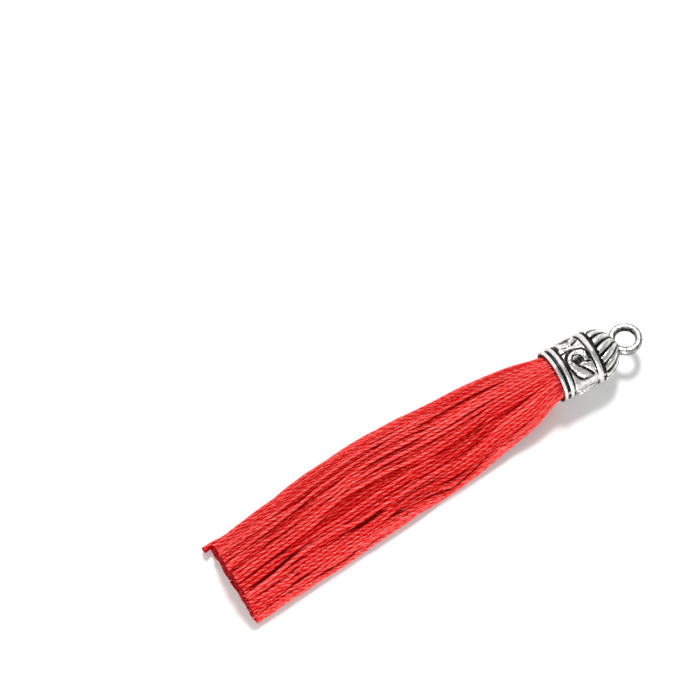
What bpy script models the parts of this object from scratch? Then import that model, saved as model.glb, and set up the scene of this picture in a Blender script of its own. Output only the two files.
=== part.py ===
"""Silk tassel: a skirt of twisted thread glued into a cast metal cap that ends in a hanging loop.

It lies on a flat surface, as it does when it is laid down: the cap's axis is level along X, the loop
points to +X, the cut ends to -X, and the skirt has slumped into a flat-bottomed heap that bends to -Y.
Sizes are in metres. Distances named x are measured from the plane of the cap's mouth.
"""

import math
import random
from collections import namedtuple

import bmesh
import bpy
from mathutils import Matrix

MM = 0.001
SHARP_ANGLE = math.radians(35)

# The cap, a casting turned about X
RIM_RADIUS = 5.2 * MM
BORE_RADIUS = 4.5 * MM
BORE_DEPTH = 8.2 * MM
BAND_RADIUS = 5.02 * MM
GROOVE_RADIUS = 4.88 * MM
RIM_ROUND = 0.14 * MM
DOME_START = 8.85 * MM
DOME_LENGTH = 4.85 * MM
DOME_RADIUS = 5.05 * MM
DOME_RINGS = 6
NECK_RADIUS = 1.45 * MM
GADROONS = 16
GADROON_GROOVE = 0.07
GADROON_TWIST = math.radians(-24)
SEGMENTS = 4 * GADROONS
REST_FLAT = 0.08 * MM
AXIS_HEIGHT = RIM_RADIUS - REST_FLAT

# The hanging loop, cast with the dome, in the level plane of the cap's axis
LOOP_X = 15.8 * MM
LOOP_RADIUS = 2.53 * MM
LOOP_THICKNESS = 1.36 * MM
LOOP_WIDTH = 1.65 * MM
LOOP_SEGMENTS = 28
LOOP_SIDES = 8
LOOP_ROLL = math.radians(-8.5)

# The skirt, GRID x GRID strands out of one glued head
GRID = 12
LOCK = 3
HEAD_RADIUS = 4.2 * MM
HEAD_DEPTH = 7.8 * MM
STRAND_FILL = 0.72
SETTLE = 0.12 * MM
SKIRT_LENGTH = 69.0 * MM
END_SLANT = 0.11
END_UNEVEN = 1.1 * MM
SEED = 5

# Rims, beads and grooves of the cap, from the mouth to the dome: where each band starts and ends
Band = namedtuple("Band", "start end radius rounded")
BANDS = [
    Band(0.0 * MM, 0.75 * MM, RIM_RADIUS, True),
    Band(0.85 * MM, 1.2 * MM, GROOVE_RADIUS, False),
    Band(1.3 * MM, 2.15 * MM, RIM_RADIUS, True),
    Band(2.25 * MM, 2.4 * MM, GROOVE_RADIUS, False),
    Band(2.5 * MM, 6.95 * MM, BAND_RADIUS, False),
    Band(7.05 * MM, 7.2 * MM, GROOVE_RADIUS, False),
    Band(7.3 * MM, 8.25 * MM, RIM_RADIUS, True),
    Band(8.35 * MM, 8.7 * MM, GROOVE_RADIUS, False),
]

# Cross-sections of the skirt. x: distance from the mouth; side: centre line towards +Y; slump: 0 is an
# ellipse and 1 has a flat underside; lift: height of the underside; parting: how far locks draw apart
Section = namedtuple("Section", "x side half_width height slump lift parting")
SECTIONS = [
    Section(0.5 * MM, 0.0 * MM, HEAD_RADIUS, 2 * HEAD_RADIUS, 0.0, AXIS_HEIGHT - HEAD_RADIUS, 0.0),
    Section(-1.0 * MM, 0.0 * MM, 4.45 * MM, 8.5 * MM, 0.05, 0.85 * MM, 0.0),
    Section(-6.0 * MM, -0.05 * MM, 6.05 * MM, 8.2 * MM, 0.3, 0.35 * MM, 0.02),
    Section(-13.0 * MM, -0.05 * MM, 7.25 * MM, 7.8 * MM, 0.75, 0.0 * MM, 0.05),
    Section(-22.0 * MM, -0.65 * MM, 8.25 * MM, 7.5 * MM, 1.0, 0.0 * MM, 0.07),
    Section(-33.0 * MM, -1.1 * MM, 8.95 * MM, 7.25 * MM, 1.0, 0.0 * MM, 0.07),
    Section(-45.0 * MM, -2.15 * MM, 9.15 * MM, 7.05 * MM, 1.0, 0.0 * MM, 0.07),
    Section(-57.0 * MM, -3.75 * MM, 8.75 * MM, 6.95 * MM, 1.0, 0.0 * MM, 0.07),
    Section(-SKIRT_LENGTH, -5.4 * MM, 8.35 * MM, 6.95 * MM, 1.0, 0.0 * MM, 0.07),
]


def clear_scene():
    for obj in list(bpy.data.objects):
        bpy.data.objects.remove(obj, do_unlink=True)


def make_material(name, color, metallic, roughness):
    material = bpy.data.materials.new(name)
    material.use_nodes = True
    shader = material.node_tree.nodes["Principled BSDF"]
    shader.inputs["Base Color"].default_value = (*color, 1.0)
    shader.inputs["Metallic"].default_value = metallic
    shader.inputs["Roughness"].default_value = roughness
    return material


def make_object(name, bm, material=None):
    bmesh.ops.recalc_face_normals(bm, faces=bm.faces)
    mesh = bpy.data.meshes.new(name)
    bm.to_mesh(mesh)
    bm.free()
    obj = bpy.data.objects.new(name, mesh)
    bpy.context.collection.objects.link(obj)
    if material:
        mesh.materials.append(material)
    return obj


def extrude_ring(bm, edges, place):
    """Extrude a closed ring of edges and put each new vertex where place(vertex) says."""
    made = bmesh.ops.extrude_edge_only(bm, edges=edges)["geom"]
    for vert in (item for item in made if isinstance(item, bmesh.types.BMVert)):
        vert.co = place(vert)
    return [item for item in made if isinstance(item, bmesh.types.BMEdge)]


# Cap


def gadroon_radius(radius, angle, twist):
    """Radius of the lobed dome: full on a lobe's crest and GADROON_GROOVE less in the groove."""
    lobe = abs(math.sin(GADROONS / 2 * (angle - twist)))
    return radius * (1 - GADROON_GROOVE * (1 - lobe))


def cap_profile():
    """(x, radius, twist) of every ring from the cup's floor out over the mouth to the neck."""
    rings = [(BORE_DEPTH, BORE_RADIUS, None), (0.0, BORE_RADIUS, None)]
    for band in BANDS:
        if band.rounded:
            quarter = (band.end - band.start) / 4
            rings.append((band.start, band.radius - RIM_ROUND, None))
            rings.append((band.start + quarter, band.radius, None))
            rings.append((band.end - quarter, band.radius, None))
            rings.append((band.end, band.radius - RIM_ROUND, None))
        else:
            rings.append((band.start, band.radius, None))
            rings.append((band.end, band.radius, None))
    neck_angle = math.acos(NECK_RADIUS / DOME_RADIUS)
    for step in range(DOME_RINGS + 1):
        angle = neck_angle * step / DOME_RINGS
        x = DOME_START + DOME_LENGTH * math.sin(angle)
        rings.append((x, DOME_RADIUS * math.cos(angle), GADROON_TWIST * step / DOME_RINGS))
    return rings


def make_cap(material):
    """The casting: a cup turned about X, lobed at its dome, with its rims flat where they rest."""
    bm = bmesh.new()
    bmesh.ops.create_circle(bm, segments=SEGMENTS, radius=1.0, cap_ends=True)
    for vert in bm.verts:
        vert.co = (0.0, vert.co.x, vert.co.y)

    def place_on(x, radius, twist):
        def place(vert):
            angle = math.atan2(vert.co.z, vert.co.y)
            here = radius if twist is None else gadroon_radius(radius, angle, twist)
            return (x, here * math.cos(angle), here * math.sin(angle))

        return place

    rings = cap_profile()
    floor = place_on(*rings[0])
    for vert in bm.verts:
        vert.co = floor(vert)
    edges = list(bm.edges)
    for ring in rings[1:]:
        edges = extrude_ring(bm, edges, place_on(*ring))
    bmesh.ops.holes_fill(bm, edges=edges, sides=0)
    for vert in bm.verts:
        vert.co.z = max(vert.co.z, -AXIS_HEIGHT)
    cap = make_object("cap", bm, material)

    loop = make_loop()
    union = cap.modifiers.new("loop", "BOOLEAN")
    union.operation = "UNION"
    union.object = loop
    cap.data.shade_smooth()
    cap.data.set_sharp_from_angle(angle=SHARP_ANGLE)
    return cap


def make_loop():
    """The loop as a solid for the cap to be joined with: a section with flat sides swept round a ring."""
    bm = bmesh.new()
    radius = 1 / math.cos(math.pi / LOOP_SIDES)
    section = bmesh.ops.create_circle(bm, segments=LOOP_SIDES, radius=radius, cap_ends=False)["verts"]
    half_side = Matrix.Rotation(math.pi / LOOP_SIDES, 3, "Z")
    bmesh.ops.rotate(bm, verts=section, cent=(0, 0, 0), matrix=half_side)
    for vert in section:
        across, along = vert.co.x, vert.co.y
        vert.co = (LOOP_RADIUS + LOOP_THICKNESS / 2 * across, 0.0, LOOP_WIDTH / 2 * along)
    bmesh.ops.spin(
        bm,
        geom=list(bm.verts) + list(bm.edges),
        cent=(0, 0, 0),
        axis=(0, 0, 1),
        angle=2 * math.pi,
        steps=LOOP_SEGMENTS,
        use_merge=True,
    )
    loop = make_object("loop_for_union", bm)
    loop.location = (LOOP_X, 0, 0)
    loop.rotation_euler = (LOOP_ROLL, 0, 0)
    loop.hide_render = True
    loop.display_type = "WIRE"
    return loop


# Skirt


def disk_point(u, v):
    """Carry a point of the square -1..1 to the unit disk, keeping areas equal."""
    if u == 0 and v == 0:
        return 0.0, 0.0
    if abs(u) > abs(v):
        radius, angle = u, math.pi / 4 * v / u
    else:
        radius, angle = v, math.pi / 2 - math.pi / 4 * u / v
    return radius * math.cos(angle), radius * math.sin(angle)


def lock_centre(coordinate):
    """Centre of the lock, LOCK strands wide, that this coordinate of the square lies in."""
    width = 2 * LOCK / GRID
    index = min(math.floor((coordinate + 1) / width), GRID // LOCK - 1)
    return -1 + width * (index + 0.5)


def section_point(section, u, v):
    """The point of one cross-section of the skirt for a point of the square, as (y, z) from the axis."""
    across, up = disk_point(u, v)
    slumped = section.slump * (math.sqrt(max(0.0, 1 - across * across)) - 1)
    y = section.side + section.half_width * across
    z = section.lift + section.height / 2 * (up + 1 + slumped)
    if section.slump == 1:
        z = max(0.0, z - SETTLE)
    return y, z - AXIS_HEIGHT


def strand_corner(section, corner, centre):
    """A strand's corner at a section, drawn towards its lock's centre as far as the locks part."""
    u = corner[0] + section.parting * (lock_centre(centre[0]) - centre[0])
    v = corner[1] + section.parting * (lock_centre(centre[1]) - centre[1])
    return section_point(section, u, v)


def end_shortfall(rng, centre):
    """How much shorter than the longest strand this one was cut."""
    slant = END_SLANT * SECTIONS[-1].half_width * (1 - disk_point(*centre)[0])
    return slant + END_UNEVEN * rng.random()


def make_skirt(material):
    """The skirt: a square grid of strands mapped into each section, fused at the glued head."""
    rng = random.Random(SEED)
    bm = bmesh.new()
    bmesh.ops.create_grid(bm, x_segments=GRID, y_segments=GRID, size=1.0)
    strand_layer = bm.faces.layers.int.new("strand")
    tips = sorted(bm.faces, key=lambda face: face.calc_center_median()[:2])
    cell = 2 / GRID
    bmesh.ops.inset_individual(bm, faces=tips, thickness=(1 - STRAND_FILL) * cell / 2)

    centres, corners, shortfalls = [], [], []
    for index, face in enumerate(tips):
        face[strand_layer] = index
        centres.append(face.calc_center_median()[:2])
        corners.append([vert.co[:2] for vert in face.verts])
        shortfalls.append(end_shortfall(rng, centres[-1]))
    shortest = min(shortfalls)
    shortfalls = [shortfall - shortest for shortfall in shortfalls]

    rim = [edge for edge in bm.edges if edge.is_boundary]
    for vert in bm.verts:
        vert.co = (SECTIONS[0].x, *section_point(SECTIONS[0], vert.co.x, vert.co.y))
    back = extrude_ring(bm, rim, lambda vert: (HEAD_DEPTH, vert.co.y, vert.co.z))
    bmesh.ops.holes_fill(bm, edges=back, sides=0)

    last_run = SECTIONS[-2].x - SECTIONS[-1].x
    for before, section in zip(SECTIONS, SECTIONS[1:]):
        made = bmesh.ops.extrude_discrete_faces(bm, faces=tips)["faces"]
        tips = [face for face in made if isinstance(face, bmesh.types.BMFace)]
        for face in tips:
            strand = face[strand_layer]
            reach = 1.0
            if section is SECTIONS[-1]:
                reach = 1 - shortfalls[strand] / last_run
            for vert, corner in zip(face.verts, corners[strand]):
                y0, z0 = strand_corner(before, corner, centres[strand])
                y1, z1 = strand_corner(section, corner, centres[strand])
                x = before.x + (section.x - before.x) * reach
                vert.co = (x, y0 + (y1 - y0) * reach, z0 + (z1 - z0) * reach)
    return make_object("skirt", bm, material)


# Placing


def stand_on_origin(parent, objects):
    """Move the parent so that the middle of the underside of all the objects is at the origin."""
    bpy.context.view_layer.update()
    graph = bpy.context.evaluated_depsgraph_get()
    points = []
    for obj in objects:
        evaluated = obj.evaluated_get(graph)
        points += [evaluated.matrix_world @ vert.co for vert in evaluated.data.vertices]
    lows = [min(point[axis] for point in points) for axis in range(3)]
    highs = [max(point[axis] for point in points) for axis in range(3)]
    parent.location = (-(lows[0] + highs[0]) / 2, -(lows[1] + highs[1]) / 2, -lows[2])


def main():
    clear_scene()
    tassel = bpy.data.objects.new("tassel", None)
    bpy.context.collection.objects.link(tassel)
    silver = make_material("antique_silver", (0.56, 0.55, 0.52), 1.0, 0.32)
    thread = make_material("red_thread", (0.72, 0.018, 0.024), 0.0, 0.55)
    cap = make_cap(silver)
    skirt = make_skirt(thread)
    cap.modifiers["loop"].object.parent = tassel
    cap.parent = tassel
    skirt.parent = tassel
    stand_on_origin(tassel, [cap, skirt])


main()
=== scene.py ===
"""Silk tassel: a skirt of twisted red thread, glued into an antiqued cast cap with a hanging loop.

It lies on its side, the cap's axis level along X, with the loop at +X and the cut ends at -X.
"""

import math
import random
from collections import namedtuple

import bpy
import numpy as np
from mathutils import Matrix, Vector, noise


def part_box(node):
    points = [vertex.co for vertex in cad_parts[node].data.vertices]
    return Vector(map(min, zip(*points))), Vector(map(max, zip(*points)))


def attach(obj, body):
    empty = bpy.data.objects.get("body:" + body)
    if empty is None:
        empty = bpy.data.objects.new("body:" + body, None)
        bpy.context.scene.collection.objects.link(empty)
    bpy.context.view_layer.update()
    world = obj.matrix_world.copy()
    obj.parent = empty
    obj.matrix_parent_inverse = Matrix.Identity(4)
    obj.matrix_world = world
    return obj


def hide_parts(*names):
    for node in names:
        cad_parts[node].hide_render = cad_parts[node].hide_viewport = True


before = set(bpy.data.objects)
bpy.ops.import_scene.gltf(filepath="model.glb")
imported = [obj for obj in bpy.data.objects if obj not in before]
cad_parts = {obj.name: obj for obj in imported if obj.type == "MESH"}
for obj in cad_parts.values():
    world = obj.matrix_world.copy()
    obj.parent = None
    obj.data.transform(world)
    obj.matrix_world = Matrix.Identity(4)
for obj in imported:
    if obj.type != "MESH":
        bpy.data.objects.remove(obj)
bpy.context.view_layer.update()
bpy.ops.object.select_all(action="DESELECT")

# ---------------------------------------------------------------------------------------------
# Red thread finish: dyed viscose or silk filament. Pale on the crown of each ply, a painted
# highlight, and deep red in the crease between plies, painted shade, with fine filaments running
# along it, and each thread a tone of its own with painted shade and highlight. Where it is cut, the
# ends of the filaments are dull and dark.

MM = 0.001
PLIES = 4
# painted highlight on the crown of each ply, the dye's own red, and painted shade in the crease
PAINTED_HIGHLIGHT_RED = (1.0, 0.27, 0.25)
BODY_RED = (0.68, 0.004, 0.004)
PAINTED_CREASE_SHADE_RED = (0.46, 0.0001, 0.0001)
CUT_RED = (0.5, 0.006, 0.02)
CUT_SHADOW = (0.14, 0.001, 0.003)
STREAKS_ROUND = 2.2
STREAKS_ALONG = 140.0
STREAKS_APART = 31.0


def new_material(name):
    """An empty node material with its Principled shader, and the node tree to build in."""
    material = bpy.data.materials.new(name)
    material.use_nodes = True
    tree = material.node_tree
    return material, tree, tree.nodes["Principled BSDF"]


def node(tree, kind, inputs=(), **settings):
    """A shader node with its settings, and its inputs linked from sockets or set to values."""
    made = tree.nodes.new("ShaderNode" + kind)
    for name, value in settings.items():
        setattr(made, name, value)
    for name, value in dict(inputs).items():
        if isinstance(value, bpy.types.NodeSocket):
            tree.links.new(value, made.inputs[name])
        else:
            made.inputs[name].default_value = value
    return made


def math_node(tree, operation, *values):
    """The result of a Math node, from sockets or numbers."""
    return node(tree, "Math", enumerate(values), operation=operation).outputs[0]


def remap(tree, value, low, high, to_low=0.0, to_high=1.0):
    """A value carried from one range to another, and held at its ends."""
    inputs = {"Value": value, "From Min": low, "From Max": high, "To Min": to_low, "To Max": to_high}
    return node(tree, "MapRange", inputs).outputs["Result"]


def blend_colors(tree, factor, first, second, blend="MIX"):
    """Two colours, each a socket or three numbers, blended by a factor."""
    made = node(tree, "Mix", data_type="RGBA", blend_type=blend)
    for index, value in ((0, factor), (6, first), (7, second)):
        if isinstance(value, bpy.types.NodeSocket):
            tree.links.new(value, made.inputs[index])
        else:
            made.inputs[index].default_value = (*value, 1) if index else value
    return made.outputs[2]


red_thread, tree, shader = new_material("red_thread")
lay = node(tree, "SeparateXYZ", {"Vector": node(tree, "UVMap", uv_map="lay").outputs["UV"]})
# each thread's tone, with its painted shade and highlight
tone_and_painted_light = node(tree, "Attribute", attribute_name="tone_and_painted_light").outputs["Fac"]
turn = math_node(tree, "MULTIPLY", lay.outputs["X"], 2 * math.pi * PLIES)
crown = remap(tree, math_node(tree, "COSINE", turn), 1, -1, 0.03, 0.71)

# filaments catch the light here and there along each ply, in streaks about half a millimetre long,
# painted into the colour as highlight and shade, and given as roughness and bump
turn = math_node(tree, "MULTIPLY", lay.outputs["X"], 2 * math.pi)
streak_place = {
    "X": math_node(tree, "MULTIPLY", math_node(tree, "COSINE", turn), STREAKS_ROUND),
    "Y": math_node(tree, "MULTIPLY", math_node(tree, "SINE", turn), STREAKS_ROUND),
    "Z": math_node(
        tree,
        "MULTIPLY_ADD",
        lay.outputs["Y"],
        STREAKS_ALONG,
        math_node(tree, "MULTIPLY", tone_and_painted_light, STREAKS_APART),
    ),
}
streak_place = node(tree, "CombineXYZ", streak_place).outputs["Vector"]
streaks = node(tree, "TexNoise", {"Vector": streak_place, "Scale": 1.0, "Detail": 3.0, "Roughness": 0.7})
streaks = streaks.outputs["Fac"]

# painted shade in the crease and a painted highlight on the crown of a ply, then the thread's tone
# with its painted shade and highlight multiplied in: the deeper, the redder
lit = math_node(tree, "MULTIPLY_ADD", tone_and_painted_light, 0.4, crown)
painted_crease_shade = remap(tree, math_node(tree, "MULTIPLY_ADD", streaks, 4.5, lit), 2.25, 3.3)
painted_highlight = remap(tree, math_node(tree, "MULTIPLY_ADD", streaks, 7.0, lit), 4.15, 5.45)
color = blend_colors(tree, painted_crease_shade, PAINTED_CREASE_SHADE_RED, BODY_RED)
color = blend_colors(tree, painted_highlight, color, PAINTED_HIGHLIGHT_RED)
redness = remap(tree, tone_and_painted_light, -2, 1, 0.42, 1.07)
paleness = remap(tree, tone_and_painted_light, -2, 1, 0.1, 1.1)
shade = node(tree, "CombineColor", {"Red": redness, "Green": paleness, "Blue": paleness}).outputs[0]
color = blend_colors(tree, 1.0, color, shade, "MULTIPLY")
tree.links.new(color, shader.inputs["Base Color"])
tree.links.new(remap(tree, streaks, 0.3, 0.7, 0.5, 0.36), shader.inputs["Roughness"])
filament_height = math_node(tree, "MULTIPLY_ADD", streaks, 1.2, math_node(tree, "MULTIPLY", crown, 0.3))
filament_bump = node(tree, "Bump", {"Height": filament_height, "Strength": 0.6, "Distance": 0.0001})
tree.links.new(filament_bump.outputs["Normal"], shader.inputs["Normal"])
shader.inputs["Specular IOR Level"].default_value = 0.0

# fine grain, for the cut ends and for cast metal: its own value, and the bump of the grain together
# with a coarser height under it
GRAIN_DEPTH = 0.00006
grain = bpy.data.node_groups.new("grain", "ShaderNodeTree")
grain.interface.new_socket("Place", in_out="INPUT", socket_type="NodeSocketVector")
for name in ("Scale", "Detail", "Under", "Strength"):
    grain.interface.new_socket(name, in_out="INPUT", socket_type="NodeSocketFloat")
grain.interface.new_socket("Value", in_out="OUTPUT", socket_type="NodeSocketFloat")
grain.interface.new_socket("Normal", in_out="OUTPUT", socket_type="NodeSocketVector")
given = grain.nodes.new("NodeGroupInput").outputs
specks = {"Vector": given["Place"], "Scale": given["Scale"], "Detail": given["Detail"]}
specks = node(grain, "TexNoise", specks).outputs["Fac"]
grain_height = math_node(grain, "ADD", given["Under"], specks)
grain_bump = {"Height": grain_height, "Strength": given["Strength"], "Distance": GRAIN_DEPTH}
grain_bump = node(grain, "Bump", grain_bump).outputs["Normal"]
results = grain.nodes.new("NodeGroupOutput").inputs
grain.links.new(specks, results["Value"])
grain.links.new(grain_bump, results["Normal"])

cut_thread, tree, shader = new_material("cut_thread")
place = node(tree, "TexCoord").outputs["Object"]
speckle = {"Place": place, "Scale": 16000.0, "Detail": 1.0, "Under": 0.0, "Strength": 0.5}
speckle = node(tree, "Group", speckle, node_tree=grain)
color = blend_colors(tree, remap(tree, speckle.outputs["Value"], 0.4, 0.65), CUT_SHADOW, CUT_RED)
tree.links.new(color, shader.inputs["Base Color"])
tree.links.new(speckle.outputs["Normal"], shader.inputs["Normal"])
shader.inputs["Roughness"].default_value = 0.85
shader.inputs["Specular IOR Level"].default_value = 0.1

# ---------------------------------------------------------------------------------------------
# Thread: two plies of lustrous red filament, each of two strands, so that four crests wind round
# it, about 0.85 mm across. It is made straight, once for each fineness, by screwing its section
# along X. It is cut off square, with the filaments a little spread.

THREAD_LENGTH = 72 * MM
TWIST_PITCH = 6.6 * MM
TURNS = round(THREAD_LENGTH / TWIST_PITCH)
CREASE_DEPTH = 0.04
CUT_SPREAD = 0.14
CUT_SPREAD_RUN = 0.018


def vertex_places(mesh):
    """The place of every vertex of a mesh, a row for each."""
    places = np.empty(len(mesh.vertices) * 3)
    mesh.vertices.foreach_get("co", places)
    return places.reshape(-1, 3)


def straight_thread(name, sides, rings_per_turn):
    """A thread of unit length and radius along +X, its UVs the turn round it and the way along it."""
    bpy.ops.mesh.primitive_circle_add(vertices=sides, radius=1, rotation=(0, math.pi / 2, 0))
    thread = bpy.context.object
    thread.name = name
    bpy.ops.object.transform_apply(location=False, rotation=True, scale=False)
    for index, vert in enumerate(thread.data.vertices):
        into_crease = 0.5 + 0.5 * math.cos(PLIES * 2 * math.pi * index / sides)
        vert.co *= 1 - CREASE_DEPTH * into_crease**1.5

    twist = thread.modifiers.new("twist", "SCREW")
    twist.axis = "X"
    twist.angle = TURNS * 2 * math.pi
    twist.screw_offset = 1
    twist.steps = TURNS * rings_per_turn
    bpy.ops.object.modifier_apply(modifier="twist")

    # a face that closes the round has its last corners at a full turn, not back at nought
    mesh = thread.data
    corners = np.empty(len(mesh.loops), np.int32)
    mesh.loops.foreach_get("vertex_index", corners)
    ring = corners // sides
    around = (corners % sides).reshape(-1, 4)
    around[(around.max(1) == sides - 1)[:, None] & (around == 0)] = sides
    uv = np.column_stack([around.ravel() / sides, ring / (TURNS * rings_per_turn)])
    mesh.uv_layers.new(name="lay").data.foreach_set("uv", uv.ravel())

    places = vertex_places(mesh)
    to_cut = np.clip((places[:, 0] - 1) / CUT_SPREAD_RUN + 1, 0, 1)
    places[:, 1:] *= (1 + CUT_SPREAD * to_cut**2)[:, None]
    mesh.vertices.foreach_set("co", places.ravel())

    bpy.ops.object.mode_set(mode="EDIT")
    bpy.ops.mesh.select_all(action="DESELECT")
    bpy.ops.mesh.select_mode(type="VERT")
    bpy.ops.mesh.select_non_manifold()
    bpy.ops.mesh.fill_holes(sides=0)
    mesh.materials.append(red_thread)
    mesh.materials.append(cut_thread)
    thread.active_material_index = 1
    bpy.ops.object.material_slot_assign()
    bpy.ops.mesh.select_all(action="SELECT")
    bpy.ops.mesh.normals_make_consistent(inside=False)
    bpy.ops.mesh.select_all(action="DESELECT")
    bpy.ops.object.mode_set(mode="OBJECT")
    bpy.ops.object.shade_smooth_by_angle(angle=math.radians(60))
    return thread


fine_thread = straight_thread("fine_thread", 16, 20)
plain_thread = straight_thread("plain_thread", 12, 16)
inner_thread = straight_thread("inner_thread", 8, 10)

# ---------------------------------------------------------------------------------------------
# Skirt: nearly 200 of these threads, gathered, glued and cut to length. Each is carried along a
# line of its own, out of the cap's mouth and down to the surface, where the bundle has slumped into
# a flat-bottomed heap that bends to -Y. Distances named x are measured from the cap's mouth.

GRID = 14
LOCKS = 4
# painted light across the skirt: the near locks painted lighter, the far locks darker
LOCK_PAINTED_LIGHT = (0.35, 0.1, -0.1, -0.35)
SKIRT_LENGTH = 69 * MM
START_INSIDE = 2.4 * MM
END_SLANT = 0.055
END_LEAN = 0.5 * MM
END_UNEVEN = 0.4 * MM
RIM_RADIUS = 5.2 * MM
SEED = 5
STATIONS = 64

cap_low, cap_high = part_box("cap")
mouth_x = cap_low.x
axis_y = (cap_low.y + cap_high.y) / 2
axis_z = cap_high.z - RIM_RADIUS

# Cross-sections of the skirt in mm. x: from the mouth; side: centre line towards +Y; slump: 0 is an
# ellipse and 1 has a flat underside; lift: height of the underside; parting: how far locks draw
# apart; thickness: a thread's
Section = namedtuple("Section", "x side half_width height slump lift parting thickness")
SECTIONS = [
    Section(2.4, 0.0, 4.2, 8.4, 0.0, 0.92, 0.0, 0.6),
    Section(0.5, 0.0, 4.2, 8.4, 0.0, 0.92, 0.0, 0.6),
    Section(-1.0, 0.0, 4.45, 8.5, 0.05, 0.85, 0.0, 0.63),
    Section(-6.0, -0.05, 6.05, 8.2, 0.3, 0.35, 0.02, 0.75),
    Section(-13.0, -0.05, 7.25, 7.8, 0.75, 0.0, 0.03, 0.81),
    Section(-22.0, -0.65, 8.25, 7.5, 1.0, 0.0, 0.04, 0.85),
    Section(-33.0, -1.1, 8.95, 7.25, 1.0, 0.0, 0.04, 0.85),
    Section(-45.0, -2.15, 9.15, 7.05, 1.0, 0.0, 0.04, 0.85),
    Section(-57.0, -3.75, 8.75, 6.95, 1.0, 0.0, 0.04, 0.85),
    Section(-69.0, -5.4, 8.35, 6.95, 1.0, 0.0, 0.04, 0.85),
    Section(-72.0, -5.8, 8.3, 6.95, 1.0, 0.0, 0.04, 0.85),
]


def smooth_line(places, values, at):
    """Values on a smooth line through the given places, for each place in at."""
    places, values = np.asarray(places, float), np.asarray(values, float)
    slopes = np.gradient(values, places, axis=0)
    left = np.clip(np.searchsorted(places, at, side="right") - 1, 0, len(places) - 2)
    run = places[left + 1] - places[left]
    t = (at - places[left]) / run
    extra = (1,) * (values.ndim - 1)
    t, run = t.reshape(-1, *extra), run.reshape(-1, *extra)
    from_left = (1 + 2 * t) * (1 - t) ** 2 * values[left] + t * (1 - t) ** 2 * run * slopes[left]
    from_right = t * t * (3 - 2 * t) * values[left + 1] + t * t * (t - 1) * run * slopes[left + 1]
    return from_left + from_right


def smooth_step(value, low, high):
    """0 below low, 1 above high, and a soft rise between."""
    t = np.clip((value - low) / (high - low), 0, 1)
    return t * t * (3 - 2 * t)


def disk_point(u, v):
    """Carry a point of the square -1..1 to the unit disk, keeping areas equal."""
    if u == 0 and v == 0:
        return 0.0, 0.0
    if abs(u) > abs(v):
        radius, angle = u, math.pi / 4 * v / u
    else:
        radius, angle = v, math.pi / 2 - math.pi / 4 * u / v
    return radius * math.cos(angle), radius * math.sin(angle)


station_x = np.linspace(SECTIONS[0].x, SECTIONS[-1].x, STATIONS)
way_down = station_x / SECTIONS[-1].x


def measure(name):
    """One measure of the skirt at every station, as a column, in metres where it is a length."""
    values = [getattr(section, name) for section in SECTIONS]
    line = smooth_line([-section.x for section in SECTIONS], values, -station_x)[:, None]
    return line if name in ("slump", "parting") else line * MM


side, half_width, height = measure("side"), measure("half_width"), measure("height")
slump, parting = np.clip(measure("slump"), 0, 1), np.clip(measure("parting"), 0, 1)
lift, thickness = np.maximum(measure("lift"), 0), measure("thickness")

# reach of the threads' centre lines, which stay half a thread inside the outline
reach_y = half_width - thickness / 2
reach_z = (height - thickness) / 2
lowest_z = lift + thickness / 2

# The threads start as a square grid, in columns from the near side to the far side and in rows from
# the surface up, and lie in locks. Layers are counted inwards
cells = [(index + 0.5) * 2 / GRID - 1 for index in range(GRID)]
squares = [(u, v) for u in cells for v in cells]
lock_width = 2 / LOCKS
locks = [[min(int((place + 1) / lock_width), LOCKS - 1) for place in square] for square in squares]
layers = [
    min(column, row, GRID - 1 - column, GRID - 1 - row) for column in range(GRID) for row in range(GRID)
]

# some threads sink a little under the top of the heap, here and there along it
SUNK = 0.4 * MM
rng = random.Random(SEED)
waves = np.array([[rng.random(), rng.uniform(0.6, 2.4), rng.random()] for _ in squares]).T
sunk = SUNK * waves[0] ** 2 * (1 + np.sin(2 * math.pi * (waves[1] * way_down[:, None] + waves[2])))
sunk *= np.clip(way_down[:, None] * 6, 0, 1)

# Cut ends: how much shorter than the longest each thread is. They slant, with the far side longest,
# and lean. Three strays of the far column stick out, by these shares of the extra length
STRAY_EXTRA = 1.3 * MM
STRAYS = {13 * GRID + 8: 0.94, 13 * GRID + 9: 1.0, 13 * GRID + 10: 0.9}
shortfalls = []
for u, v in squares:
    across, up = disk_point(u, v)
    slant = END_SLANT * SECTIONS[-2].half_width * MM * (1 - across) + END_LEAN * (up + 1) / 2
    shortfalls.append(slant + END_UNEVEN * rng.random())
shortfalls = [shortfall - min(shortfalls) for shortfall in shortfalls]
for index, share in STRAYS.items():
    shortfalls[index] = -STRAY_EXTRA * share

# Each thread's line before they press on each other: its place in the section, drifting sideways and
# up and down, with its lock and by itself
LOCK_DRIFT = (0.25 * MM, 0.2 * MM)
THREAD_DRIFT = (0.35 * MM, 0.4 * MM)
DRIFT_WAVES = ((1.0, 1.3), (0.6, 2.7), (0.2, 4.1))
DRIFT_FREE = 30
lock_drift = [[rng.uniform(-1, 1) for _ in range(6)] for _ in range(LOCKS**2)]
# each lock's tone: its painted light across the skirt and a random part of its own
lock_tone_and_painted_light = [LOCK_PAINTED_LIGHT[lock // LOCKS] + rng.uniform(-0.2, 0.2) for lock in range(LOCKS**2)]


def wander(waves, reach):
    """A slow drift along the skirt, from six random numbers."""
    line = 0
    for index, (size, count) in enumerate(DRIFT_WAVES):
        turn = 2 * math.pi * (way_down * count + waves[2 * index + 1])
        line = line + size * waves[2 * index] * np.sin(turn)
    return reach * np.clip(-station_x / DRIFT_FREE, 0, 1) * line


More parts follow.
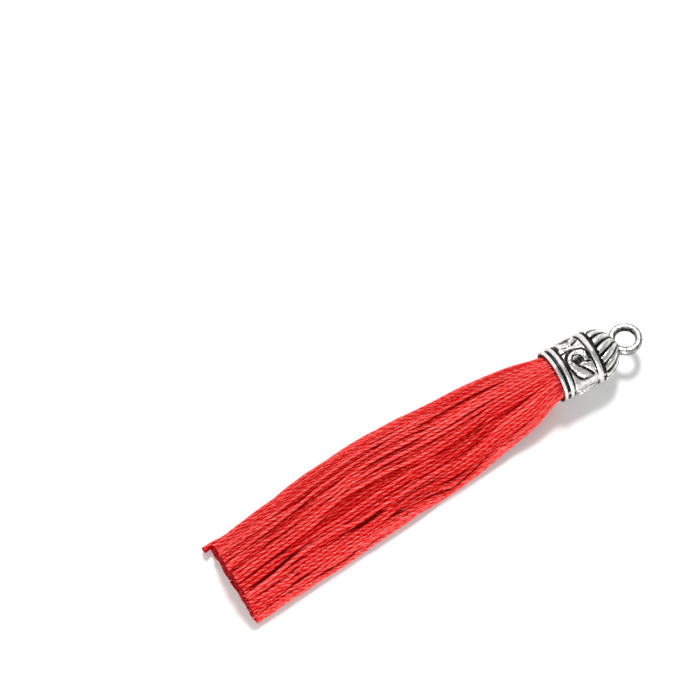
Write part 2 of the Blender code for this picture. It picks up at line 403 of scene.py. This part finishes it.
target = np.empty((STATIONS, len(squares), 2))
for index, (u, v) in enumerate(squares):
    lock_u, lock_v = locks[index]
    centre_u, centre_v = (-1 + lock_width * (lock + 0.5) for lock in locks[index])
    places = [disk_point(u + part * (centre_u - u), v + part * (centre_v - v)) for part in parting[:, 0]]
    across, up = np.array(places).T[:, :, None]
    rise = np.sqrt(np.maximum(0, 1 - across**2))
    y = side + reach_y * across
    z = lowest_z + reach_z * (up + 1 + slump * (rise - 1))
    drift = lock_drift[lock_u * LOCKS + lock_v]
    own = [rng.uniform(-1, 1) for _ in range(6)]
    drift_y = wander(drift, LOCK_DRIFT[0]) + wander(own, THREAD_DRIFT[0])
    own = [rng.uniform(-1, 1) for _ in range(6)]
    drift_z = wander(drift[::-1], LOCK_DRIFT[1]) + wander(own, THREAD_DRIFT[1])
    free = 1 - across[:, 0] ** 4
    target[:, index, 0] = y[:, 0] + free * drift_y
    target[:, index, 1] = z[:, 0] + free * drift_z

# The threads settle: those that overlap push each other apart, each pulls back a little to its own
# line and stays smooth, and all are kept inside the outline
ROUNDS = 60
PRESSED = 0.93
PUSH = 0.4
PULL_BACK = 0.02
STIFFNESS = 0.25


def kept_in_outline(y, z):
    """Bring thread centres back inside the skirt's outline and onto the surface they lie on."""
    across = (y - side) / reach_y
    centre_z = lowest_z + reach_z * (1 - slump)
    up = np.maximum(0, (z - centre_z) / (reach_z * (1 + slump)))
    outside = np.maximum(1, np.hypot(across, up))
    z = np.where(up > 0, centre_z + (z - centre_z) / outside, z)
    across = np.clip(across / outside, -1, 1)
    rise = np.sqrt(1 - across**2)
    middle = lowest_z + reach_z * (1 + slump * (rise - 1))
    reach = reach_z * rise
    top = np.maximum(middle + reach - sunk, middle - reach)
    return side + across * reach_y, np.clip(z, middle - reach, top)


lie = target.copy()
for _ in range(ROUNDS):
    apart = lie[:, :, None] - lie[:, None]
    distance = np.sqrt((apart**2).sum(-1)) + 1e-9
    overlap = np.maximum(0, PRESSED * thickness[:, :, None] - distance)
    overlap[:, range(len(squares)), range(len(squares))] = 0
    push = (apart * (overlap / distance)[..., None]).sum(2)
    lie += PUSH * push + PULL_BACK * (target - lie)
    bend = lie - target
    bend[1:-1] += STIFFNESS * (bend[2:] + bend[:-2] - 2 * bend[1:-1])
    lie = target + bend
    lie = np.stack(kept_in_outline(lie[..., 0], lie[..., 1]), -1)

# Threads of the top row that sink between their neighbours for a while and leave a dark line. start
# and end: how far from the mouth, in mm; column: counted from the near side
DIP = 0.6 * MM
Parting = namedtuple("Parting", "start end column")
PARTINGS = [
    Parting(29.0, 50.0, 5),
    Parting(15.0, 27.0, 4),
    Parting(14.0, 25.0, 2),
    Parting(12.0, 24.0, 12),
    Parting(48.0, 66.0, 9),
    Parting(26.0, 40.0, 8),
    Parting(38.0, 47.0, 1),
    Parting(56.0, 67.0, 3),
]
dipped = np.zeros(lie.shape[:2])
for parted in PARTINGS:
    way = np.clip((-station_x - parted.start) / (parted.end - parted.start), 0, 1)
    dipped[:, parted.column * GRID + GRID - 1] = np.sqrt(np.sin(math.pi * way).clip(0))
lie[..., 1] -= DIP * dipped

# Painted light on the threads, in the units of the finish's tone: painted shade on inner layers,
# dipped threads and sheltered flanks, a painted highlight on exposed tops, and the strays lighter
OWN_TONE_WAVE = 0.2
LAYER_PAINTED_SHADE = 0.6
DIPPED_PAINTED_SHADE = 1.2
SHELTER_PAINTED_SHADE = 1.85
EXPOSED_PAINTED_HIGHLIGHT = 0.55
STRAY_PAINTED_LIGHT = 0.3
STRAY_BEND = 0.35 * MM
STRAY_SPREAD = 0.12


def along_skirt(line, x):
    """A measure of the skirt, given at the stations, at every x in metres."""
    return np.interp(-x, -station_x * MM, line.ravel())


def ripple(along, size, count):
    """A wave along a thread, with its size and count drawn from their ranges."""
    size = rng.uniform(*size)
    return size * np.sin(rng.uniform(*count) * along + rng.uniform(0, 6))


def thread_tone_and_painted_light(index, along, x, centre, turned):
    """The tone of a thread with its painted light: its own and its lock's, painted shade on inner layers,
    on dipped threads and where its neighbours shelter it, a painted highlight where it faces out, and
    the strays painted lighter.

    turned is which way each place on the thread faces, in Y and Z.
    """
    tone_and_painted_light = rng.random() + OWN_TONE_WAVE * np.sin(rng.uniform(4, 12) * along + rng.uniform(0, 6))
    lock_u, lock_v = locks[index]
    # the lock's tone with its painted light, and painted shade on the inner layers
    tone_and_painted_light += lock_tone_and_painted_light[lock_u * LOCKS + lock_v] - min(layers[index], 2) * LAYER_PAINTED_SHADE

    # outwards from the heap's middle, turned up towards the light
    out_y = centre[:, 1] - along_skirt(side, x)
    out_z = centre[:, 2] - along_skirt(lift + height / 2 * (1 - slump), x)
    out_y /= along_skirt(half_width, x) ** 2
    out_z /= along_skirt(height / 2 * (1 + slump), x) ** 2
    outward = np.column_stack([out_y, out_z])
    outward /= np.linalg.norm(outward, axis=1)[:, None]
    outward[:, 1] += np.maximum(0, 0.8 + outward[:, 1])
    outward /= np.linalg.norm(outward, axis=1)[:, None]
    facing = (turned * outward).sum(1)
    # painted shade on dipped threads and where neighbours shelter the thread, a painted highlight where
    # it faces out
    tone_and_painted_light -= DIPPED_PAINTED_SHADE * along_skirt(dipped[:, index], x)
    tone_and_painted_light -= SHELTER_PAINTED_SHADE * (1 - smooth_step(facing, 0.12, 0.8)) - EXPOSED_PAINTED_HIGHLIGHT * smooth_step(facing, 0.7, 1)
    # the strays painted lighter
    return tone_and_painted_light + STRAY_PAINTED_LIGHT if index in STRAYS else tone_and_painted_light


def laid_thread(straight, index):
    """A copy of the straight thread, with a mesh of its own, carried along its line in the skirt."""
    mesh = straight.data.copy()
    along, round_y, round_z = vertex_places(mesh).T[:, :, None]
    x = START_INSIDE + (shortfalls[index] - SKIRT_LENGTH - START_INSIDE) * along[:, 0]
    route = np.column_stack([station_x * MM, lie[:, index]])
    centre = smooth_line(-station_x * MM, route, -x)
    heading = smooth_line(-station_x * MM, np.gradient(route, -station_x * MM, axis=0), -x)
    heading /= np.linalg.norm(heading, axis=1)[:, None]
    sideways = np.cross([0, 0, 1], heading)
    sideways /= np.linalg.norm(sideways, axis=1)[:, None]
    upward = np.cross(heading, sideways)

    # the twist runs a little faster and slower, and the thread thicker and thinner
    phase = rng.uniform(0, 2 * math.pi) + rng.uniform(-14, 14) * along
    phase += ripple(along, (0.4, 1.2), (9, 21))
    swell = 1 + ripple(along, (0.01, 0.04), (30, 90))
    radius = along_skirt(thickness / 2, x)[:, None] * swell * rng.uniform(0.94, 1.05)
    if index in STRAYS:
        loose = smooth_step(-x, 0.95 * SKIRT_LENGTH, SKIRT_LENGTH)[:, None]
        centre[:, 1:] += STRAY_BEND * loose
        radius = radius * (1 + STRAY_SPREAD * loose)
    first = round_y * np.cos(phase) - round_z * np.sin(phase)
    second = round_y * np.sin(phase) + round_z * np.cos(phase)
    laid = centre + radius * (first * sideways + second * upward)
    laid += [mouth_x, axis_y, 0]
    mesh.vertices.foreach_set("co", laid.ravel())

    turned = np.column_stack([first[:, 0] * sideways[:, 1], second[:, 0] * upward[:, 2]])
    turned /= np.hypot(first, second)
    tone_and_painted_light = thread_tone_and_painted_light(index, along[:, 0], x, centre, turned)
    mesh.attributes.new("tone_and_painted_light", "FLOAT", "POINT").data.foreach_set("value", tone_and_painted_light)
    strand = bpy.data.objects.new(f"strand_{index}", mesh)
    bpy.context.collection.objects.link(strand)
    return strand


def place_in_skirt(index):
    """Which piece a thread belongs to and how finely it is made: the outer ones show most."""
    u, v = squares[index]
    if layers[index] > 1:
        return "threads_inner", inner_thread
    if layers[index] == 1:
        return "threads_second", plain_thread
    if v > 0 and abs(u) < v:
        return "threads_top", fine_thread
    if u < 0:
        return "threads_near", fine_thread
    if abs(u) > abs(v):
        return "threads_far", fine_thread
    return "threads_under", fine_thread


groups = {}
for index in range(len(squares)):
    name, straight = place_in_skirt(index)
    groups.setdefault(name, []).append(laid_thread(straight, index))
for name, strands in groups.items():
    bpy.ops.object.select_all(action="DESELECT")
    for strand in strands:
        strand.select_set(True)
    bpy.context.view_layer.objects.active = strands[0]
    bpy.ops.object.join()
    threads = bpy.context.object
    threads.name = threads.data.name = name
    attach(threads, "root")
    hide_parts("skirt")
for straight in (fine_thread, plain_thread, inner_thread):
    bpy.data.objects.remove(straight)

# ---------------------------------------------------------------------------------------------
# Cap: one casting in soft zinc alloy, plated and antiqued: a cup with rolled rims, a carved band and
# a lobed dome. It is turned about its axis, then carved. The skirt's head is glued inside it.
# Its sizes are in mm, along the axis from the mouth and out from the axis.

BORE_RADIUS = 4.5
BORE_DEPTH = 8.2
GROOVE_FLOOR = 4.74
BAND_RADIUS = 5.02
BAND_START = 2.36
BAND_END = 7.1
DOME_START = 8.85
DOME_LENGTH = 4.85
DOME_RADIUS = 5.05
TURNING_STEPS = 384

# Rims and beads, each a rounded ridge
Bead = namedtuple("Bead", "start end foot crown")
BEADS = [Bead(-0.02, 0.7, 4.86, 5.2), Bead(1.22, 2.06, 4.84, 5.19), Bead(7.26, 8.28, 4.84, 5.2)]


def turned_radius(x):
    """Radius of the turned cap, before it is carved, at a distance from the mouth."""
    radius = GROOVE_FLOOR
    for bead in BEADS:
        t = (2 * x - bead.start - bead.end) / (bead.end - bead.start)
        if abs(t) < 1:
            radius = max(radius, bead.foot + (bead.crown - bead.foot) * (1 - t * t) ** 0.6)
    edge = min(x - BAND_START, BAND_END - x) - 0.02
    if edge > 0:
        radius = max(radius, BAND_RADIUS - 0.2 * max(0, 1 - edge / 0.2) ** 2)
    along_dome = (x - DOME_START) / DOME_LENGTH
    if along_dome > -0.03:
        foot = 0.25 * max(0, -along_dome / 0.03)
        radius = max(radius, DOME_RADIUS * math.sqrt(max(0, 1 - along_dome**2)) - foot)
    return radius


# from the middle of the bore's floor, out through the mouth, and round to the tip of the dome
profile = [(BORE_DEPTH, share * BORE_RADIUS) for share in (0.0, 0.25, 0.5, 0.75, 0.96)]
profile += [(BORE_DEPTH - 0.2 - 0.96 * step, BORE_RADIUS) for step in range(8)]
profile += [(0.35, BORE_RADIUS), (0.12, 4.52), (0.02, 4.6)]
for start, end, step in ((0.0, 2.4, 0.06), (2.4, 7.05, 0.075), (7.05, 8.85, 0.06)):
    profile += [(x, turned_radius(x)) for x in np.arange(start, end - step / 2, step)]
for angle in np.linspace(0, math.pi / 2, 66)[:-1]:
    profile.append((DOME_START + DOME_LENGTH * math.sin(angle), DOME_RADIUS * math.cos(angle)))
profile.append((DOME_START + DOME_LENGTH, 0.0))

start_x, start_radius = profile[0]
bpy.ops.mesh.primitive_circle_add(vertices=3, radius=0.1 * MM)
cap = bpy.context.object
cap.name = cap.data.name = "silver_cap"
bpy.ops.object.mode_set(mode="EDIT")
bpy.ops.mesh.select_all(action="SELECT")
bpy.ops.mesh.merge(type="CENTER")
bpy.ops.transform.translate(value=(mouth_x + start_x * MM, axis_y, axis_z + start_radius * MM))
for before, after in zip(profile, profile[1:]):
    step = ((after[0] - before[0]) * MM, 0, (after[1] - before[1]) * MM)
    bpy.ops.mesh.extrude_region_move(TRANSFORM_OT_translate={"value": step})
bpy.ops.mesh.select_all(action="SELECT")
bpy.ops.mesh.spin(
    steps=TURNING_STEPS, angle=2 * math.pi, center=(mouth_x, axis_y, axis_z), axis=(1, 0, 0)
)
bpy.ops.mesh.select_all(action="SELECT")
bpy.ops.mesh.remove_doubles(threshold=0.004 * MM)
bpy.ops.mesh.normals_make_consistent(inside=False)
bpy.ops.object.mode_set(mode="OBJECT")

# Carving of the band, unrolled: s is the way round from the mould seam and x the way from the
# mouth. It comes twice round the cap. Each form follows a smooth line through its points.

SEAM_ANGLE = -20.0
HALF_ROUND = math.pi * BAND_RADIUS
GROUND = -0.05
Stroke = namedtuple("Stroke", "half_width height points")
RAISED = [
    # a scroll, with the knob and tip of its curl, and two leaves
    Stroke(0.34, 0.17, [(10.6, 6.2), (9.6, 6.4), (8.9, 5.7), (8.72, 4.7), (9.05, 3.7), (10.0, 3.1),
                        (11.2, 3.2), (12.2, 3.7)]),
    Stroke(0.3, 0.16, [(9.68, 4.5), (9.72, 4.3)]),
    Stroke(0.32, 0.14, [(10.5, 6.2), (10.4, 6.0)]),
    Stroke(0.62, 0.13, [(11.4, 5.5), (12.2, 6.2), (12.9, 6.5)]),
    Stroke(0.52, 0.13, [(11.2, 3.6), (12.3, 4.1), (13.3, 4.9)]),
    # a smaller scroll, turned the other way, with its tip
    Stroke(0.3, 0.15, [(5.6, 5.9), (4.9, 6.45), (3.7, 6.4), (2.8, 5.6), (2.65, 4.6), (3.2, 3.6),
                       (4.4, 3.2), (5.5, 3.6), (6.1, 4.4)]),
    Stroke(0.28, 0.15, [(5.55, 5.85), (5.5, 5.7)]),
    # a bowed bar between the scrolls, and one by the seam
    Stroke(0.3, 0.14, [(6.9, 2.9), (7.45, 3.9), (7.55, 5.1), (7.2, 6.5)]),
    Stroke(0.35, 0.1, [(1.0, 3.2), (1.5, 4.6), (1.1, 6.2)]),
]
CUT = [
    # round the scroll and its leaves, between them, and inside the curl
    Stroke(0.15, 0.26, [(9.7, 6.95), (8.7, 6.45), (8.2, 5.3), (8.22, 4.2), (8.65, 3.2), (9.6, 2.62),
                        (10.9, 2.6), (12.1, 3.0), (13.2, 3.35), (14.1, 4.1)]),
    Stroke(0.15, 0.28, [(10.0, 3.75), (11.1, 4.25), (12.3, 5.2), (13.2, 5.95), (14.2, 6.4)]),
    Stroke(0.12, 0.2, [(10.95, 5.6), (10.2, 5.6), (9.55, 5.3), (9.22, 4.6), (9.45, 3.95), (10.0, 3.75)]),
    Stroke(0.5, 0.24, [(10.45, 4.35), (10.6, 4.95)]),
    Stroke(0.3, 0.26, [(10.0, 6.95), (10.9, 6.95)]),
    Stroke(0.13, 0.18, [(14.25, 6.4), (14.4, 5.2), (14.15, 4.1)]),
    Stroke(0.13, 0.2, [(11.1, 5.9), (11.6, 6.8)]),
    # the ground between the scrolls
    Stroke(0.24, 0.26, [(3.7, 2.66), (6.5, 2.62)]),
    Stroke(0.2, 0.24, [(6.05, 6.6), (6.45, 6.2), (6.8, 5.5)]),
    Stroke(0.13, 0.2, [(6.5, 3.3), (6.75, 3.7), (6.95, 4.3)]),
    # the curl of the smaller scroll, and round it
    Stroke(0.55, 0.24, [(4.0, 4.6), (4.45, 5.2)]),
    Stroke(0.13, 0.2, [(5.1, 4.1), (5.5, 4.9), (5.3, 5.4)]),
    Stroke(0.15, 0.24, [(5.8, 6.95), (4.5, 6.9), (3.1, 6.75), (2.15, 5.7), (2.05, 4.4), (2.6, 3.2),
                        (3.7, 2.66)]),
    # beside the bars
    Stroke(0.14, 0.22, [(7.9, 2.6), (7.95, 3.6), (7.98, 4.6)]),
    Stroke(0.14, 0.2, [(7.0, 4.4), (7.1, 5.2), (6.85, 5.6)]),
    Stroke(0.16, 0.2, [(0.9, 2.7), (0.65, 4.6), (0.9, 6.8)]),
    Stroke(0.2, 0.22, [(1.6, 2.7), (2.0, 3.3)]),
    Stroke(0.2, 0.22, [(1.5, 6.8), (2.0, 6.3)]),
]


def near_line(s, x, points):
    """Distance of each place on the band from a smooth line through the points."""
    ways = np.linspace(0, len(points) - 1, 1 + 6 * (len(points) - 1))
    line = smooth_line(np.arange(len(points)), points, ways)
    nearest = np.full(len(s), 1e9)
    for (s0, x0), (s1, x1) in zip(line, line[1:]):
        run_s, run_x = s1 - s0, x1 - x0
        way = ((s - s0) * run_s + (x - x0) * run_x) / (run_s**2 + run_x**2)
        way = np.clip(way, 0, 1)
        nearest = np.minimum(nearest, np.hypot(s - s0 - way * run_s, x - x0 - way * run_x))
    return nearest


def carved(s, x):
    """Height of the carving over the turned band."""
    raised, cut = np.zeros(len(s)), np.zeros(len(s))
    for stroke in RAISED:
        edge = near_line(s, x, stroke.points) / stroke.half_width
        raised = np.maximum(raised, stroke.height * np.sqrt(np.maximum(0, 1 - (edge / 1.25) ** 2)))
    for stroke in CUT:
        edge = near_line(s, x, stroke.points) / stroke.half_width
        cut = np.maximum(cut, stroke.height * np.exp(-((edge / 1.3) ** 2)))
    return GROUND + 1.3 * raised * (1 - np.minimum(1, cut / 0.25)) - cut


def unevenness(places, fineness, offset):
    """The unevenness of a soft casting, -1 to 1."""
    return np.array([noise.noise(Vector(place * fineness) + Vector((offset, 0, 0))) for place in places])


def cap_places(mesh):
    """x, y and z of every vertex in mm from the mouth and the axis, its radius, and its degrees round."""
    x, y, z = ((vertex_places(mesh) - [mouth_x, axis_y, axis_z]) / MM).T
    return x, y, z, np.hypot(y, z), np.degrees(np.arctan2(z, y))


x, y, z, radius, angle = cap_places(cap.data)
outside = radius > BORE_RADIUS + 0.15
round_way = (angle - SEAM_ANGLE) % 180 / 180
s = round_way * HALF_ROUND
places = np.column_stack([x, y, z])
slow, quick = unevenness(places, 0.8, 3), unevenness(places, 2.6, 8)
at_seam = smooth_step(np.abs(round_way - 0.5), 0.46, 0.485)
relief = np.zeros(len(places))
band = outside & (x > BAND_START) & (x < BAND_END)
fade = smooth_step(np.minimum(x - BAND_START, BAND_END - x), 0, 0.12)
warped = carved(s[band] + 0.14 * slow[band], x[band] + 0.1 * quick[band])
relief[band] = warped * fade[band] * (1 - at_seam[band]) * (1 + 0.5 * quick[band])

# Gadroons of the dome: round-ended lobes with a thin groove between them. They lean round it, by
# GADROON_TWIST degrees on the way to TWIST_END degrees up its curve

GADROONS = 16
GADROON_GROOVE = 0.07
GADROON_TWIST = -24.0
TWIST_END = 73
LOBE_PITCH = 360 / GADROONS


def on_dome(x, angle):
    """How far along the dome each place is, from 0 to 1, and its degrees from the nearest groove."""
    along_dome = np.clip((x - DOME_START) / DOME_LENGTH, 0, 1)
    turn = GADROON_TWIST * np.degrees(np.arcsin(along_dome)) / TWIST_END
    return along_dome, np.abs((angle - turn + LOBE_PITCH / 2) % LOBE_PITCH - LOBE_PITCH / 2)


along_dome, from_groove = on_dome(x, angle)
lobe = np.sin(np.radians(from_groove) * GADROONS / 2)
in_groove = from_groove * np.maximum(radius, 1) / 5 / (2.8 - 1.4 * along_dome)
notch = np.exp(-(in_groove**2)) * (1 - at_seam)
lobes = -radius * GADROON_GROOVE * (1 - lobe) - 0.2 * notch * (1 + 0.5 * slow)
arched = -0.3 * (1 - lobe) * (1 - smooth_step(x, DOME_START - 0.1, DOME_START + 0.5))
blend_in = smooth_step(x, DOME_START - 0.2, DOME_START + 0.1) * smooth_step(radius, 1.0, 2.4)
dome = (x > DOME_START - 0.2) & (radius > 0.3)
relief[dome] = ((lobes + arched) * blend_in)[dome]

# Mould seam: it bridges the grooves, with a thin ledge of flash, and is pitted. The lip is not quite
# round, and the whole outside is a little uneven

FLASH_WIDTH = 0.14
flash = np.exp(-(((np.abs(round_way - 0.5) - 0.492) * 2 * HALF_ROUND / FLASH_WIDTH) ** 2))
bridged = np.maximum(0, 4.98 - radius) * at_seam * outside * (x < 8.9)
relief += (bridged + 0.05 * flash * outside * (x < 11)) * (radius > 3)
wave = 0.04 * np.sin(np.radians(angle * 5 + 40)) + 0.035 * np.sin(np.radians(angle * 13 + 10))
relief += wave * outside * (1 - smooth_step(x, 0.5, 0.8))
relief += (0.035 * slow + 0.02 * quick) * outside * (x < 9) * smooth_step(x, 0.0, 0.3)
pits = 0.16 * np.minimum(0, slow + quick - 0.1)
relief += pits * at_seam * outside * smooth_step(x, 2.5, 6) * (x < 8.6)
relief += 0.02 * np.sin(np.radians(angle * 7 + 90)) * outside * (x > 7.2) * (x < 8.3)

# the carved cap, pressed just clear of the surface where its rims touch
CLEAR_OF_SURFACE = 0.002
scale = np.where(radius > 0.01, (radius + relief) / np.maximum(radius, 0.01), 1)
places = vertex_places(cap.data)
places[:, 1] = axis_y + y * scale * MM
places[:, 2] = np.maximum(axis_z + z * scale * MM, CLEAR_OF_SURFACE * MM)
cap.data.vertices.foreach_set("co", places.ravel())

# Hanging loop, cast with the dome: a ring with worn flat sides in the level plane of the axis

LOOP_X = 15.8
LOOP_RADIUS = 2.53
LOOP_THICKNESS = 1.36
LOOP_WIDTH = 1.65
LOOP_ROLL = math.radians(-8.5)
SQUARED = 0.65
loop_centre = Vector((mouth_x + LOOP_X * MM, axis_y, axis_z))
bpy.ops.mesh.primitive_torus_add(
    major_radius=LOOP_RADIUS * MM,
    minor_radius=LOOP_THICKNESS / 2 * MM,
    major_segments=112,
    minor_segments=28,
    location=loop_centre,
)
loop = bpy.context.object
bpy.ops.object.mode_set(mode="EDIT")
bpy.ops.mesh.select_all(action="SELECT")
bpy.ops.transform.resize(value=(1, 1, LOOP_WIDTH / LOOP_THICKNESS), center_override=loop_centre)
bpy.ops.object.mode_set(mode="OBJECT")
for vert in loop.data.vertices:
    out = Vector((vert.co.x, vert.co.y, 0)).normalized() * LOOP_RADIUS * MM
    across, up = (vert.co - out).xy.dot(out.xy.normalized()), vert.co.z
    flat = (abs(across) / (LOOP_THICKNESS / 2 * MM)) ** 3 + (abs(up) / (LOOP_WIDTH / 2 * MM)) ** 3
    section = out.normalized() * across + Vector((0, 0, up))
    vert.co = out + section / (1 - SQUARED + SQUARED * flat ** (1 / 3))
loop.rotation_euler = (LOOP_ROLL, 0, 0)
bpy.ops.object.transform_apply(location=True, rotation=True, scale=True)
union = cap.modifiers.new("loop", "BOOLEAN")
union.operation = "UNION"
union.solver = "EXACT"
union.object = loop
bpy.context.view_layer.objects.active = cap
bpy.ops.object.modifier_apply(modifier="loop")
bpy.data.objects.remove(loop)

# Antique silver finish: bright where hands and polishing reach, black patina left in every recess.
# The patina is measured on the casting: 1 in the grooves, 0 on the high places, worn off by the seam.

x, y, z, radius, angle = cap_places(cap.data)
patina = 1 - smooth_step(radius, 4.72, 5.1)
from_seam = 0.5 - np.abs((angle - SEAM_ANGLE) % 180 / 180 - 0.5)
patina *= 1 - 0.9 * (1 - smooth_step(from_seam, 0.03, 0.11)) * (x > 2.3) * (x < 8.3)

# the grooves of the dome, narrower to its tip, and the groove round its foot
along_dome, from_groove = on_dome(x, angle)
of_lobe = from_groove * np.maximum(radius, 1.2) / 5
dome_patina = 1 - smooth_step(of_lobe, 1.2 - along_dome, 7 - 3.5 * along_dome)
dome_patina = np.maximum(dome_patina * smooth_step(radius, 0.8, 1.6), 1 - smooth_step(x, 8.8, 8.95))
patina = np.where(x > 8.7, dome_patina, patina)

# the loop: dark on its inner wall and where it meets the dome, darker towards its underside, and dark
# on the dome round its foot
turned_y = y * math.cos(LOOP_ROLL) + z * math.sin(LOOP_ROLL)
turned_z = z * math.cos(LOOP_ROLL) - y * math.sin(LOOP_ROLL)
from_centre = np.hypot(x - LOOP_X, turned_y)
from_ring = np.hypot(from_centre - LOOP_RADIUS, turned_z * LOOP_THICKNESS / LOOP_WIDTH)
off_loop = np.abs(from_ring - LOOP_THICKNESS / 2)
bare_dome = DOME_RADIUS * np.sqrt(np.maximum(0, 1 - along_dome**2))
off_dome = np.hypot(np.maximum(0, x - DOME_START - DOME_LENGTH), np.maximum(0, radius - bare_dome))
loop_darkening = 0.85 * (1 - smooth_step(from_centre, LOOP_RADIUS - 0.66, LOOP_RADIUS - 0.25))
loop_darkening = np.maximum(loop_darkening, 0.4 + 0.3 * smooth_step(-turned_z, -0.3, 0.5))
loop_darkening = np.maximum(loop_darkening, 1 - smooth_step(off_dome, 0.1, 0.45))
on_loop = off_loop < 0.09
patina = np.where(on_loop, loop_darkening, patina)
foot_patina = 1 - smooth_step(off_loop, 0.12, 0.4)
patina = np.where(~on_loop & (x > 11), np.maximum(patina, foot_patina), patina)

# the bore, never polished
inside = (radius < BORE_RADIUS + 0.08) & (x < BORE_DEPTH + 0.1)
patina = np.where(inside, 0.8, patina)
patina_layer = cap.data.attributes.new("patina", "FLOAT", "POINT")
patina_layer.data.foreach_set("value", np.clip(patina, 0, 1))

BRIGHT_SILVER = (0.82, 0.815, 0.79)
DULL_SILVER = (0.34, 0.335, 0.32)
PATINA_BLACK = (0.022, 0.021, 0.02)

antique_silver, tree, shader = new_material("antique_silver")
place = node(tree, "TexCoord").outputs["Object"]
mottle = node(tree, "TexNoise", {"Vector": place, "Scale": 1400.0, "Detail": 4.0}).outputs["Fac"]
patina_mask = node(tree, "Attribute", attribute_name="patina").outputs["Fac"]
worn = math_node(tree, "MULTIPLY_ADD", mottle, 1.3, patina_mask)
black = remap(tree, worn, 1.05, 1.5)
dull = remap(tree, worn, 0.6, 1.15)
color = blend_colors(tree, dull, BRIGHT_SILVER, DULL_SILVER)
color = blend_colors(tree, black, color, PATINA_BLACK)
tree.links.new(color, shader.inputs["Base Color"])
shader.inputs["Metallic"].default_value = 1.0
tarnish = math_node(tree, "MULTIPLY_ADD", black, 0.4, mottle)
tree.links.new(remap(tree, tarnish, 0.3, 1.1, 0.2, 0.62), shader.inputs["Roughness"])
uneven = math_node(tree, "MULTIPLY", mottle, 2.0)
cast_grain = {"Place": place, "Scale": 7000.0, "Detail": 2.0, "Under": uneven, "Strength": 0.25}
cast_grain = node(tree, "Group", cast_grain, node_tree=grain)
tree.links.new(cast_grain.outputs["Normal"], shader.inputs["Normal"])
cap.data.materials.append(antique_silver)
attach(cap, "root")
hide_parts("cap")

# ---------------------------------------------------------------------------------------------
# Surface, light and camera: a sheet of white paper under an even studio sky, dimmer overhead and to
# the right, with a key light above the far side and a low fill from the near side. The camera looks
# down at 69 degrees. UP and RIGHT are the photograph's own, along the surface.

UP = Vector((0.4804, 0.8771, 0))
RIGHT = Vector((0.877, -0.48, 0))
LOOK_AT = Vector((-3.67, 27.03, 0)) * MM
CAMERA_PLACE = Vector((-67.35, -89.23, 345.33)) * MM
FOCAL_LENGTH = 102.1
SENSOR_WIDTH = 36

bpy.ops.mesh.primitive_plane_add(size=6)
floor = bpy.context.object
floor.name = "floor"
paper, tree, shader = new_material("white_paper")
shader.inputs["Base Color"].default_value = (0.86, 0.86, 0.86, 1)
shader.inputs["Roughness"].default_value = 0.9
shader.inputs["Specular IOR Level"].default_value = 0.1
floor.data.materials.append(paper)

world = bpy.data.worlds.new("studio")
bpy.context.scene.world = world
world.use_nodes = True
sky = world.node_tree
direction = node(sky, "TexCoord").outputs["Generated"]
sky_height = node(sky, "SeparateXYZ", {"Vector": direction}).outputs["Z"]
to_right = node(sky, "VectorMath", {0: direction, 1: RIGHT}, operation="DOT_PRODUCT").outputs["Value"]
overhead = remap(sky, sky_height, 0.4, 0.95, 1.0, 0.34)
sky_light = math_node(sky, "MULTIPLY", overhead, remap(sky, to_right, 0.1, 0.8, 1.0, 0.5))
sky.links.new(sky_light, sky.nodes["Background"].inputs["Color"])
sky.nodes["Background"].inputs["Strength"].default_value = 1.05


def aimed(thing, place):
    """Put a light or the camera at a place, looking at the middle of the view."""
    thing.location = place
    thing.rotation_euler = (LOOK_AT - place).to_track_quat("-Z", "Y").to_euler()


Light = namedtuple("Light", "name size energy place")
LIGHTS = [
    Light("key_light", 0.17, 6.8, LOOK_AT + UP * 0.44 + Vector((0, 0, 0.79))),
    Light("fill_light", 0.24, 6.8, LOOK_AT - UP * 0.85 + Vector((0, 0, 0.15))),
]
for light in LIGHTS:
    bpy.ops.object.light_add(type="AREA")
    lamp = bpy.context.object
    lamp.name = light.name
    lamp.data.size = light.size
    lamp.data.energy = light.energy
    aimed(lamp, light.place)

bpy.ops.object.camera_add()
camera = bpy.context.object
camera.data.sensor_width = SENSOR_WIDTH
camera.data.lens = FOCAL_LENGTH
camera.data.clip_start = 0.01
aimed(camera, CAMERA_PLACE)
bpy.context.scene.camera = camera
bpy.context.scene.view_settings.view_transform = "Standard"
